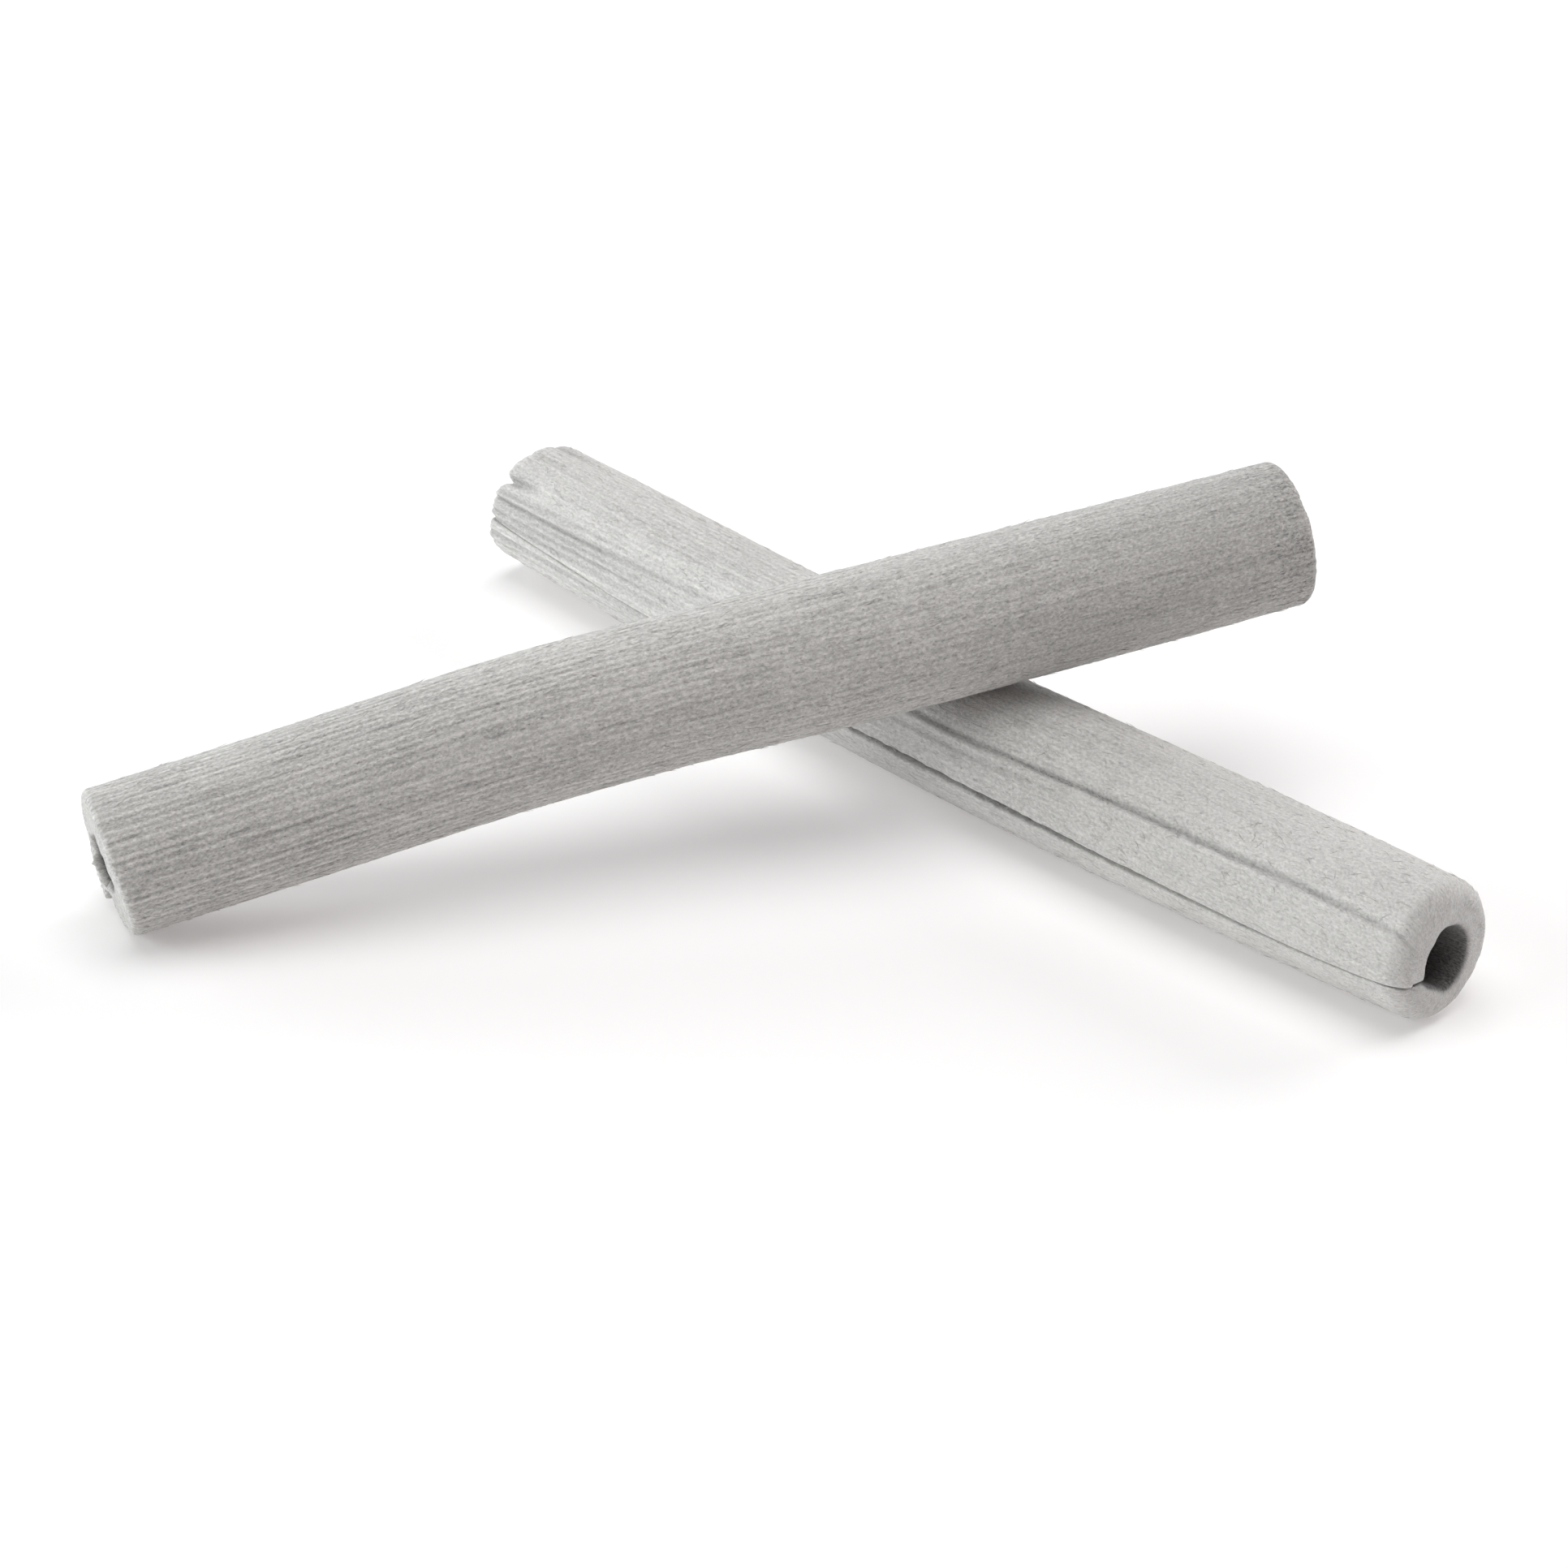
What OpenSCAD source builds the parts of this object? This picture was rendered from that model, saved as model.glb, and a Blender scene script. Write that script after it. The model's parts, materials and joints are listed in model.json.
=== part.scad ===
// Two rolled felt-paper blending stumps, one laid across the other.
// Each stump is one thick sheet rolled a single turn round a hollow, closed by a line of paste.
// +Z is up, z = 0 is the table, and +X points out of the lower stump's open end.

/* [Stump] */
// Outer diameter of the rolled barrel
barrel_d = 7.5; // [6:0.1:9]
// Length of each stump from end to end
stump_len = 62.5; // [56:0.5:70]
// Diameter of the hollow down the middle
bore_d = 3.2; // [2.4:0.1:3.8]
// Radius of the soft edge round each end
rim_r = 0.9; // [0.4:0.1:1.2]

/* [Seam] */
// Slot between the two long edges of the rolled sheet
seam_gap = 0.12; // [0.08:0.02:0.3]
// How far the paste stops short of the outer surface
paste_setback = 0.5; // [0.3:0.1:0.8]
// How far the paste stops short of the hollow
paste_inset = 0.3; // [0.1:0.1:0.4]
// How far the paste stops short of each end
paste_end_inset = 1.5; // [0.5:0.5:4]

/* [Lower stump] */
// Length from the open end to the bend
lower_arm = 32; // [29:0.5:35]
// Bend in the middle, in the level plane
lower_bend = 4; // [1:0.1:6]
// Seam position round the barrel, from +Y towards +Z
lower_seam_angle = 185; // [170:1:200]
// Diameter of the slight waist at the bend
waist_d = 7.3; // [5.9:0.1:7.4]
// Distance from the bend to where the waist has widened to the barrel
waist_reach = 7; // [4:0.5:10]
// Diameter of the squeezed, pleated end
tip_d = 6.6; // [5.8:0.1:7]
// Length of the taper down to the pleated end
tip_taper_len = 19; // [12:1:24]
// Number of pleats round the squeezed end
pleats = 9; // [5:1:12]
// Depth of each pleat at the end face
pleat_depth = 0.35; // [0.2:0.05:0.5]
// Distance from the end face to where a pleat runs out
pleat_len = 9; // [6:1:12]
// Crease position round the barrel, from +Y towards +Z
crease_angle = 140; // [120:1:160]
// Depth of the crease
crease_depth = 0.15; // [0.1:0.05:0.3]
// Distance from the open end to the start of the crease
crease_end_inset = 3.5; // [2:0.5:6]
// Length of the crease
crease_len = 21; // [10:1:22]

/* [Upper stump] */
// Length from the low end to the bend
upper_arm = 22; // [18:0.5:28]
// Bend in the middle, in the upright plane
upper_bend = 4.2; // [3:0.1:5]
// Slope of the half that lies over the lower stump
upper_slope = 7.8; // [7.2:0.1:8.5]
// Compass direction of the low end, from +X towards +Y
upper_heading = -120.5; // [-130:0.5:-105]
// Seam position round the barrel, from straight down
upper_seam_angle = -30; // [-80:1:40]

/* [Crossing] */
// Where the axes cross in plan, from the lower stump's bend
cross_x = 2.8; // [1:0.1:5]
// Clearance between the two barrels
touch_gap = 0.05; // [0.03:0.01:0.2]

/* [Hidden] */
$fn = 96;
felt_grey = [0.76, 0.75, 0.735];
paste_grey = [0.60, 0.58, 0.55];

barrel_r = barrel_d / 2;
bore_r = bore_d / 2;
waist_r = waist_d / 2;
tip_r = tip_d / 2;
rim_steps = 4;
past = 2;    // overrun of a cutter past the face that it cuts
reach_all = 100; // side of the half-space box, larger than any stump

lower_far_arm = stump_len - lower_arm;
upper_high_arm = stump_len - upper_arm;
paste_outer_r = tip_r - paste_setback;

// The rounded edge of an end of radius r, as [along, radius] from the end face's centre.
function rim(r) = [
    for (i = [0:rim_steps])
        let (a = 90 * i / rim_steps)
            [rim_r * (sin(a) - 1), r - rim_r * (1 - cos(a))]
];

// How far an end reaches along dir: centre, outward axis and radius of the end.
function end_reach(centre, axis, r, dir) =
    let (along = axis * dir, across = sqrt(1 - pow(along, 2)))
        centre * dir + max([for (p = rim(r)) p[0] * along + p[1] * across]);

// Direction of an axis that points down by slope on the upper stump's heading.
function headed(slope) = [
    cos(upper_heading) * cos(slope),
    sin(upper_heading) * cos(slope),
    -sin(slope)
];

// Height of the upper axis over the lower one where they cross in plan, for barrels that just clear.
upright_share = let (side = abs(sin(upper_heading)) * cos(upper_slope))
    side / sqrt(pow(sin(upper_slope), 2) + pow(side, 2));
cross_height = barrel_r + (barrel_d + touch_gap) / upright_share;

// The low end rests on the table, which places the bend along the upper axis.
low_slope = upper_slope + upper_bend;
low_end_height = end_reach([0, 0, 0], headed(low_slope), barrel_r, [0, 0, -1]);
cross_to_bend = (cross_height - upper_arm * sin(low_slope) - low_end_height) / sin(upper_slope);
upper_bend_at = [cross_x, 0, cross_height] + cross_to_bend * headed(upper_slope);

// Each end of the pair as [centre, outward axis, radius], measured from the lower stump's bend.
lower_far_axis = [-cos(lower_bend), sin(lower_bend), 0];
ends = [
    [[lower_arm, 0, barrel_r], [1, 0, 0], barrel_r],
    [[0, 0, barrel_r] + lower_far_arm * lower_far_axis, lower_far_axis, tip_r],
    [upper_bend_at + upper_arm * headed(low_slope), headed(low_slope), barrel_r],
    [upper_bend_at - upper_high_arm * headed(upper_slope), -headed(upper_slope), barrel_r]
];
function pair_reach(dir) = max([for (e = ends) end_reach(e[0], e[1], e[2], dir)]);

// Centre of the pair's footprint, which is the origin.
footprint = [
    (pair_reach([1, 0, 0]) - pair_reach([-1, 0, 0])) / 2,
    (pair_reach([0, 1, 0]) - pair_reach([0, -1, 0])) / 2,
    0
];

// One half of a roll, hollow and slotted, along +X from the bend.
// stations are [along, radius] from the bend to the end face.
module roll_arm(stations, seam_angle) {
    length = stations[len(stations) - 1][0];
    end_r = stations[len(stations) - 1][1];
    wall = [for (i = [0:len(stations) - 2]) [stations[i][1], stations[i][0]]];
    edge = [for (p = rim(end_r)) [p[1], length + p[0]]];
    difference() {
        rotate([0, 90, 0])
            rotate_extrude()
                polygon(concat(
                    [[0, -past], [stations[0][1], -past]],
                    wall,
                    edge,
                    [[0, length]]
                ));
        translate([-2 * past, 0, 0])
            rotate([0, 90, 0])
                cylinder(r = bore_r, h = length + 4 * past);
        seam_slab(seam_angle, bore_r / 2, barrel_r + past, length + past);
    }
}

// The gap between the sheet's edges, from radius r0 to r1 and from the bend to the given length.
module seam_slab(seam_angle, r0, r1, length) {
    rotate([seam_angle, 0, 0])
        translate([-2 * past, r0, -seam_gap / 2])
            cube([length + 2 * past, r1 - r0, seam_gap]);
}

// One arm beyond the mitre plane x = 0, turned up by half of the bend.
module mitred_arm(bend) {
    intersection() {
        rotate([0, 0, bend / 2])
            children();
        translate([0, -reach_all / 2, -reach_all / 2])
            cube(reach_all);
    }
}

// Two arms joined at a mitre: the first ends up along +X, the second along -X and turned to +Y.
module bent(bend) {
    rotate([0, 0, -bend / 2]) {
        mitred_arm(bend)
            children(0);
        mirror([1, 0, 0])
            mitred_arm(bend)
                children(1);
    }
}

module place_lower() {
    translate([0, 0, barrel_r] - footprint)
        children();
}

module place_upper() {
    translate(upper_bend_at - footprint)
        rotate([-90, low_slope, upper_heading])
            children();
}

// A long diamond bar whose lower edge is depth below the line that it lies along.
module groove_bar(length, depth) {
    side = depth * sqrt(2);
    rotate([45, 0, 0])
        translate([0, -side / 2, -side / 2])
            cube([length, side, side]);
}

// Pleats in the squeezed end, deepest at the end face.
module pleat_cuts() {
    for (i = [0:pleats - 1])
        rotate([360 * (i + 0.5) / pleats, 0, 0])
            translate([lower_far_arm - pleat_len, tip_r, 0])
                rotate([0, 0, -atan(pleat_depth / pleat_len)])
                    translate([0, pleat_depth, 0])
                        groove_bar(pleat_len + past, pleat_depth);
}

module crease_cut() {
    rotate([crease_angle, 0, 0])
        translate([lower_arm - crease_end_inset - crease_len, barrel_r, 0])
            groove_bar(crease_len, crease_depth);
}

module lower_felt_roll() {
    color(felt_grey)
        place_lower()
            bent(lower_bend) {
                difference() {
                    roll_arm(
                        [[0, waist_r], [waist_reach / 2, waist_r], [waist_reach, barrel_r], [lower_arm, barrel_r]],
                        lower_seam_angle
                    );
                    crease_cut();
                }
                difference() {
                    roll_arm(
                        [[0, waist_r], [lower_far_arm - tip_taper_len, waist_r], [lower_far_arm, tip_r]],
                        lower_seam_angle
                    );
                    pleat_cuts();
                }
            }
}

module upper_felt_roll() {
    color(felt_grey)
        place_upper()
            bent(upper_bend) {
                roll_arm([[0, barrel_r], [upper_arm, barrel_r]], upper_seam_angle);
                roll_arm([[0, barrel_r], [upper_high_arm, barrel_r]], upper_seam_angle);
            }
}

// The line of dried paste in a seam, in the same two arms as its roll.
module seam_paste(bend, seam_angle, arm, other_arm) {
    bent(bend) {
        seam_slab(seam_angle, bore_r + paste_inset, paste_outer_r, arm - paste_end_inset);
        seam_slab(seam_angle, bore_r + paste_inset, paste_outer_r, other_arm - paste_end_inset);
    }
}

module lower_seam_paste() {
    color(paste_grey)
        place_lower()
            seam_paste(lower_bend, lower_seam_angle, lower_arm, lower_far_arm);
}

module upper_seam_paste() {
    color(paste_grey)
        place_upper()
            seam_paste(upper_bend, upper_seam_angle, upper_arm, upper_high_arm);
}

lower_felt_roll();
lower_seam_paste();
upper_felt_roll();
upper_seam_paste();
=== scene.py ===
"""Looks for a crossed pair of rolled felt-paper blending stumps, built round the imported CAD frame.

Each stump is one thick sheet rolled a single turn. Its felt is one closed mesh, in rows along the roll
and columns round the sheet. Throughout, s is the distance along a roll from its near end and w is the
distance round it, both in mm.
"""
import json
import math
from dataclasses import dataclass

import bpy
import numpy as np
from mathutils import Matrix, Vector


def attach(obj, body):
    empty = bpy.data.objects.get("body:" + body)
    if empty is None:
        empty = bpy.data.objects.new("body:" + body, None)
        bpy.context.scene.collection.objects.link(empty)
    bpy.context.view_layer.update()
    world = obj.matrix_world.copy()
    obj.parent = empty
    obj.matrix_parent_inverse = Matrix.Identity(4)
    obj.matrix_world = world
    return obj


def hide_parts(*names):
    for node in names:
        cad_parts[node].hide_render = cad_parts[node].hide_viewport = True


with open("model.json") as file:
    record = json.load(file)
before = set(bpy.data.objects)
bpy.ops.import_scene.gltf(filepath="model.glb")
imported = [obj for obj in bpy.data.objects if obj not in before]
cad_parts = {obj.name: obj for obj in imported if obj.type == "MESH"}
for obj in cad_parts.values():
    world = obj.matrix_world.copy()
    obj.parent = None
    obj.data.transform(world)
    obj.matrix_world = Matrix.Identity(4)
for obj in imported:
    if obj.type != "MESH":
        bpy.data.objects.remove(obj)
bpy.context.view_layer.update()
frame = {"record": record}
mounts = {m["name"]: m for m in frame["record"]["mounts"]}

MM = 0.001                 # the shapes below are worked out in millimetres
UP = np.array([0.0, 0.0, 1.0])
TAU = 2 * math.pi


# ---------------------------------------------------------------- numbers that describe the stumps

@dataclass
class Roll:
    """One stump. Angles are in degrees round it, 0 level on the camera's side and 90 upwards."""
    name: str
    body: str
    near: str              # mount at the near end of the hollow
    far: str               # mount at the other end
    side: float            # 1 or -1, so that angle 0 is on the camera's side
    turn: float            # length over which the bend is spread
    girth: list            # (s, outer radius) stations
    drift: list            # (s, offset) stations of the axis off its smooth bend
    drift_along: np.ndarray
    seam: list             # (s, angle) stations of the seam
    gap: list              # (s, half width of the seam slit)
    crease: list           # (s, angle, depth) stations, or empty
    ribs: list             # (s, strength of the fine ribs, 1 on a plainly ribbed stretch)
    shade: list            # (s, change in tone) of painted light and shade along the roll
    flats: list            # (angle, depth, half width) of flatter panels along the whole roll
    pleats: list           # (angle, swing, depth, length, half width) of pleats at the far end
    far_steps: list        # (angle, step along s) of the uneven far end
    near_steps: list       # the same at the near end
    skew: float            # how far one long edge of the sheet is ahead of the other
    slant: list            # (s, degrees) the seam turns on its way in to the hollow
    cut_wear: float        # how rough the surface is beside the far cut
    rims: tuple            # radius of the soft outer edge at the near and far ends
    mouths: tuple          # radius of the edge round the hollow at the near and far ends
    mouth_lip: tuple       # (angle, height, spread) of the torn edge round the near hollow
    hole_near: list        # (degrees round from the seam, radius) of the hollow at the near end
    hole_far: list         # the same at the far end
    seed: int


BARREL_R = mounts["lower_barrel"]["dims"]["r_mm"]   # distances round a roll are measured at this radius
HOLLOW_R = mounts["lower_hollow"]["dims"]["r_mm"]
SEAM_R = 3.6               # radius at which the seam slit's width is set
LIP = 0.15                 # radius of the sheet's long edges
END_LIP = 0.2              # how much rounder the first long edge is at the very ends
END_LIP_REACH = 1.6
LIP_SINK = 0.8             # how much of its round a long edge shows
RIB_PITCH = 0.36           # spacing of the fine ribs round a roll
RIB_HEIGHT = 0.016         # these heights and depths are what a strength of 1 gives
BROAD_RIB_HEIGHT = 0.008
NICK_DEPTH = 0.022
LONG_NICKS = {"pitch": 0.46, "length": 6.0, "width": 0.08, "chance": 0.5}
SHORT_NICKS = {"pitch": 0.7, "length": 2.4, "width": 0.065, "chance": 0.3}
TUFT_HEIGHT = 0.008        # these are the same all over the felt
GRAIN_HEIGHT = 0.011
LUMP_HEIGHT = 0.014
CREASE_FADE = 2.5          # distance over which a crease fades out at its ends
CREASE_CUT = 0.17          # half width of a crease's cut
CREASE_LIP = (0.36, 0.2)   # how far to one side of the cut its lip is, and the lip's half width
CREASE_FOLD = (0.8, 0.16)  # the same for a fainter fold past the lip
FOLD_FROM = 19             # where along the roll the fold starts
FOLD_GROWTH = 6            # distance over which it reaches its full depth
GROOVE_SHADE = 5            # painted shade in a pleat or crease for each mm of its depth
END_REACH = 4              # distance from an end over which its uneven cut and wear fade out
END_STEPS_FROM = -60       # angle at which the lists of end steps start
EVEN_INSIDE = 0.7          # how much of the end steps is lost on the way in to the hollow
HOLLOW_NEAR_SHARE = 0.6    # share of the length by which the hollow has its far shape
TABLE_GIVE = 0.12          # share of its dip below the table that the soft felt keeps
HOLLOW_SHADE_DEPTH = 0.5       # depth in mm by which the painted shade in the hollow is at its darkest

CENTRELINE_POINTS = 600
HOLLOW_COLUMNS = 64        # columns round the hollow
OUTSIDE_PER_HOLLOW = 4     # outside columns for each step round the hollow, so that the end faces join
ROUND_COLUMNS = OUTSIDE_PER_HOLLOW * (HOLLOW_COLUMNS - 1) + 1
LIP_COLUMNS = 5            # columns down each long edge
EDGE_COLUMNS = np.array([0, 0.05, 0.11, 0.18, 0.27, 0.39])   # mm from a long edge to its first columns
ROW_STEP = 0.27            # spacing of rows along a roll
RIM_ROWS = 8
FACE_ROWS = 9
MID_WALL_GAP = 0.03        # how far the end faces' rows stop short of mid wall


# ---------------------------------------------------------------- small numeric helpers

def stations(pairs, x):
    """Smooth interpolation through (x, y) stations, level beyond the ends."""
    xs = np.array([p[0] for p in pairs], float)
    ys = np.array([p[1] for p in pairs], float)
    x = np.clip(x, xs[0], xs[-1])
    k = np.clip(np.searchsorted(xs, x) - 1, 0, len(xs) - 2)
    t = (x - xs[k]) / (xs[k + 1] - xs[k])
    slopes = np.gradient(ys, xs)
    width = xs[k + 1] - xs[k]
    return (
        (2 * t**3 - 3 * t**2 + 1) * ys[k]
        + (t**3 - 2 * t**2 + t) * width * slopes[k]
        + (3 * t**2 - 2 * t**3) * ys[k + 1]
        + (t**3 - t**2) * width * slopes[k + 1]
    )


def smooth(t):
    t = np.clip(t, 0, 1)
    return t * t * (3 - 2 * t)


def noise(x, y, seed):
    """Smooth value noise in -1 to 1 on unit cells."""
    size = 512
    table = np.random.default_rng(seed).uniform(-1, 1, (size, size))
    xi, yi = np.floor(x).astype(int), np.floor(y).astype(int)
    u, v = smooth(x - xi), smooth(y - yi)
    x0, x1, y0, y1 = xi % size, (xi + 1) % size, yi % size, (yi + 1) % size
    low = table[x0, y0] * (1 - u) + table[x1, y0] * u
    high = table[x0, y1] * (1 - u) + table[x1, y1] * u
    return low * (1 - v) + high * v


def unit(v):
    return v / np.linalg.norm(v)


def angle_away(a, b):
    """Difference of two angles in degrees, from -180 to 180."""
    return (a - b + 180) % 360 - 180


def ridge(off, half):
    """1 on the middle line of a ridge or groove, dying away to either side of it."""
    return np.exp(-((off / half) ** 2))


def edge_drop(distance, radius):
    """How far a surface has turned in at a distance from its edge, for an edge of some radius."""
    return radius - np.sqrt(np.maximum(radius**2 - np.maximum(radius - distance, 0) ** 2, 0))


# ---------------------------------------------------------------- the shape of a roll

class Centreline:
    """The axis of a roll: the two straight halves of the CAD hollow, with the bend spread out."""

    def __init__(self, roll):
        near, far = mounts[roll.near], mounts[roll.far]
        start, end = np.array(near["pos_m"]) / MM, np.array(far["pos_m"]) / MM
        forward, beyond = -unit(np.array(near["axis"])), unit(np.array(far["axis"]))
        normal = np.cross(forward, beyond)
        bend_at = np.cross(end - start, beyond) @ normal / (normal @ normal)
        self.length = bend_at + np.linalg.norm(end - start - bend_at * forward)
        turn_angle = math.acos(forward @ beyond)
        inward = unit(beyond - (beyond @ forward) * forward)
        self.s = np.linspace(0, self.length, CENTRELINE_POINTS)
        angle = turn_angle * smooth((self.s - bend_at) / roll.turn + 0.5)
        heading = np.cos(angle)[:, None] * forward + np.sin(angle)[:, None] * inward
        moves = (heading[1:] + heading[:-1]) / 2 * np.diff(self.s)[:, None]
        self.points = start + np.vstack([np.zeros(3), np.cumsum(moves, axis=0)])
        self.points += stations(roll.drift, self.s)[:, None] * roll.drift_along
        self.heading = np.gradient(self.points, self.s, axis=0)
        self.heading /= np.linalg.norm(self.heading, axis=1)[:, None]
        self.side = roll.side

    def at(self, s):
        """Point, heading, sideways and upward directions at each s."""
        shape = s.shape
        flat = s.ravel()
        inside = np.clip(flat, 0, self.length)
        point = np.stack([np.interp(inside, self.s, self.points[:, i]) for i in range(3)], 1)
        heading = np.stack([np.interp(inside, self.s, self.heading[:, i]) for i in range(3)], 1)
        point += (flat - inside)[:, None] * heading
        sideways = self.side * np.cross(UP, heading)
        sideways /= np.linalg.norm(sideways, axis=1)[:, None]
        upward = self.side * np.cross(heading, sideways)
        return [v.reshape(shape + (3,)) for v in (point, heading, sideways, upward)]


def pleat_depth(roll, line, s, degrees):
    """How far the pleats at the far end sink the surface."""
    total = 0 * s
    for angle, swing, depth, length, half in roll.pleats:
        fade = smooth(1 - (line.length - s) / length)
        off = angle_away(degrees, angle + swing * (1 - fade))
        total = total + depth * fade * ridge(off, half)
    return total


def outer_radius(roll, line, s, degrees):
    """Radius of the roll's outside before its surface relief."""
    r = stations(roll.girth, s)
    r = r + 0.04 * noise(s / 14, degrees / 75, roll.seed + 1)
    for angle, depth, half in roll.flats:
        share = np.clip(np.abs(angle_away(degrees, angle)) / half, 0, 1)
        r = r - depth * np.cos(share * math.pi / 2) ** 2
    return r - pleat_depth(roll, line, s, degrees)


def hollow_radius(roll, line, s, share):
    """Radius from the roll's axis to the wall of the hollow, by share of the way round from the seam."""
    near_share = smooth(1 - s / (line.length * HOLLOW_NEAR_SHARE))
    degrees = 360 * share
    near, far = stations(roll.hole_near, degrees), stations(roll.hole_far, degrees)
    wavy = 0.05 * noise(s / 3, degrees / 24, roll.seed + 2)
    wavy = wavy + 0.02 * noise(s / 0.8, degrees / 9, roll.seed + 13)
    return near * near_share + far * (1 - near_share) + wavy


def dashes(s, w, pitch, length, width, chance, seed):
    """Thin straight nicks along the roll, one at most in each cell, each 0 to 1 deep."""
    rng = np.random.default_rng(seed)
    size = 256
    shift, centre, lean, strength = rng.uniform(0, 1, (4, size, size))
    i = np.floor(w / pitch).astype(int)
    along = s / length + shift[i % size, 0]
    j = np.floor(along).astype(int)
    cell = (i % size, j % size)
    t = along - j
    middle = (i + 0.3 + 0.4 * centre[cell]) * pitch + (lean[cell] - 0.5) * 0.1 * (t - 0.5)
    depth = np.where(strength[cell] < chance, 0.4 + 0.6 * strength[cell] / chance, 0)
    return depth * np.sin(math.pi * t) * ridge(w - middle, width)


def felt_relief(roll, s, w):
    """Ribs, nicks and grain: their height in mm, the painted shade in their grooves, and the count of ribs
    passed on the way round."""
    wander = w + 0.07 * noise(s / 13, w / 3, roll.seed + 3)
    wander = wander + 0.02 * noise(s / 2.2, w / 1.1, roll.seed + 4)
    strength = stations(roll.ribs, s)
    count = wander / RIB_PITCH + 0.28 * noise(s / 21, wander / 1.7, roll.seed + 5)
    ribs = np.cos(TAU * count) * (0.7 + 0.3 * noise(s / 6, wander / 0.9, roll.seed + 6))
    broad = noise(s / 16, wander / 0.8, roll.seed + 18)
    patch = 0.55 + 0.45 * noise(s / 6, w / 2.2, roll.seed + 9)
    nicks = patch * dashes(s, wander, seed=roll.seed + 14, **LONG_NICKS)
    nicks = nicks + dashes(s, wander, seed=roll.seed + 15, **SHORT_NICKS)
    tufts = noise(s / 0.9, w / 0.25, roll.seed + 7)
    grain = noise(s / 0.5, w / 0.19, roll.seed + 8)
    lumps = noise(s / 2.6, w / 1.3, roll.seed + 10)
    height = strength * (RIB_HEIGHT * ribs + BROAD_RIB_HEIGHT * broad - NICK_DEPTH * nicks)
    height = height + TUFT_HEIGHT * tufts + GRAIN_HEIGHT * grain + LUMP_HEIGHT * lumps
    return height, strength * (0.7 * nicks + 0.1 * (1 - ribs)), count


def crease_relief(roll, s, degrees):
    """Height and painted shade of a crease: its cut, a lip on one side, and a fainter fold past the lip."""
    if not roll.crease:
        return 0, 0
    first, last = roll.crease[0][0], roll.crease[-1][0]
    fade = smooth((s - first) / CREASE_FADE) * smooth((last - s) / CREASE_FADE)
    centre = stations([(at, angle) for at, angle, _ in roll.crease], s)
    deep = stations([(at, depth) for at, _, depth in roll.crease], s) * fade
    off = np.radians(angle_away(degrees, centre)) * BARREL_R
    off = off + 0.03 * noise(s / 0.8, s * 0, roll.seed + 19)
    lip_off, lip_half = CREASE_LIP
    fold_off, fold_half = CREASE_FOLD
    cut = ridge(off, CREASE_CUT)
    lip = ridge(off + lip_off, lip_half)
    fold = smooth((s - FOLD_FROM) / FOLD_GROWTH) * ridge(off + fold_off, fold_half)
    return deep * (0.55 * lip - cut - 0.45 * fold), deep * (GROOVE_SHADE * cut + 2 * fold)


def relief(roll, line, s, w, degrees):
    """Height of the surface above its smooth shape in mm, the painted shade in its grooves, and the rib
    count.
    """
    height, groove, count = felt_relief(roll, s, w)
    crease_height, crease_shade = crease_relief(roll, s, degrees)
    groove = groove + GROOVE_SHADE * pleat_depth(roll, line, s, degrees)
    return height + crease_height, groove + crease_shade, count


def row_plan(length, rims):
    """For each row: s, how far round the rim it is in radians, how far in towards mid wall, and rim."""
    ends = []
    for rim in rims:
        face = [(0.0, math.pi / 2, 1 - k / FACE_ROWS, rim) for k in range(FACE_ROWS)]
        turns = np.linspace(0, math.pi / 2, RIM_ROWS + 1)
        ends.append(face + [(rim * (1 - math.cos(t)), math.pi / 2 - t, 0.0, rim) for t in turns])
    near, far = ends
    count = int((length - sum(rims)) / ROW_STEP)
    middle = [(s, 0.0, 0.0, rims[0]) for s in np.linspace(rims[0], length - rims[1], count)[1:-1]]
    return np.array(near + middle + [(length - s, t, f, rim) for s, t, f, rim in reversed(far)])


def roll_columns(roll, s):
    """Angle of every column at each s, its depth through the sheet (0 outside, 1 in the hollow), how
    far round the sheet it is, and how far from the nearer long edge in mm."""
    seam = stations(roll.seam, s)[:, None]
    half = np.degrees(stations(roll.gap, s) / SEAM_R)[:, None]
    girth = TAU * BARREL_R
    edge = EDGE_COLUMNS
    inner = np.linspace(edge[-1], girth - edge[-1], ROUND_COLUMNS - 2 * len(edge) + 2)[1:-1]
    outer = np.concatenate([edge, inner, girth - edge[::-1]])
    hollow = np.linspace(1, 0, HOLLOW_COLUMNS)
    lip = (np.arange(LIP_COLUMNS) + 1) / (LIP_COLUMNS + 1)
    share = np.concatenate([outer / girth, np.ones(LIP_COLUMNS), hollow, np.zeros(LIP_COLUMNS)])
    depth = np.concatenate([np.zeros(ROUND_COLUMNS), lip, np.ones(HOLLOW_COLUMNS), lip[::-1]])
    from_edge = np.zeros(len(share))
    from_edge[:ROUND_COLUMNS] = np.minimum(outer, girth - outer)
    first = ROUND_COLUMNS + LIP_COLUMNS
    from_edge[first:first + HOLLOW_COLUMNS] = np.minimum(hollow, 1 - hollow) * TAU * HOLLOW_R
    degrees = seam + half + share * (360 - 2 * half)
    tattered = 0.35 * noise(s[:, None] / 0.35 + 0 * share, 50 * share + 0 * s[:, None], roll.seed + 17)
    degrees = degrees + tattered * half * smooth(1 - from_edge / 0.4)
    return degrees, depth, share, from_edge


def end_shift(roll, line, s, degrees, share):
    """How far the sheet is ahead along the roll, from its skew and its uneven cut ends."""
    around = (degrees - END_STEPS_FROM) % 360 + END_STEPS_FROM
    far = stations(roll.far_steps, around) * smooth(1 - (line.length - s) / END_REACH)
    near = stations(roll.near_steps, around) * smooth(1 - s / END_REACH)
    return far - near + roll.skew * (0.5 - share)


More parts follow.
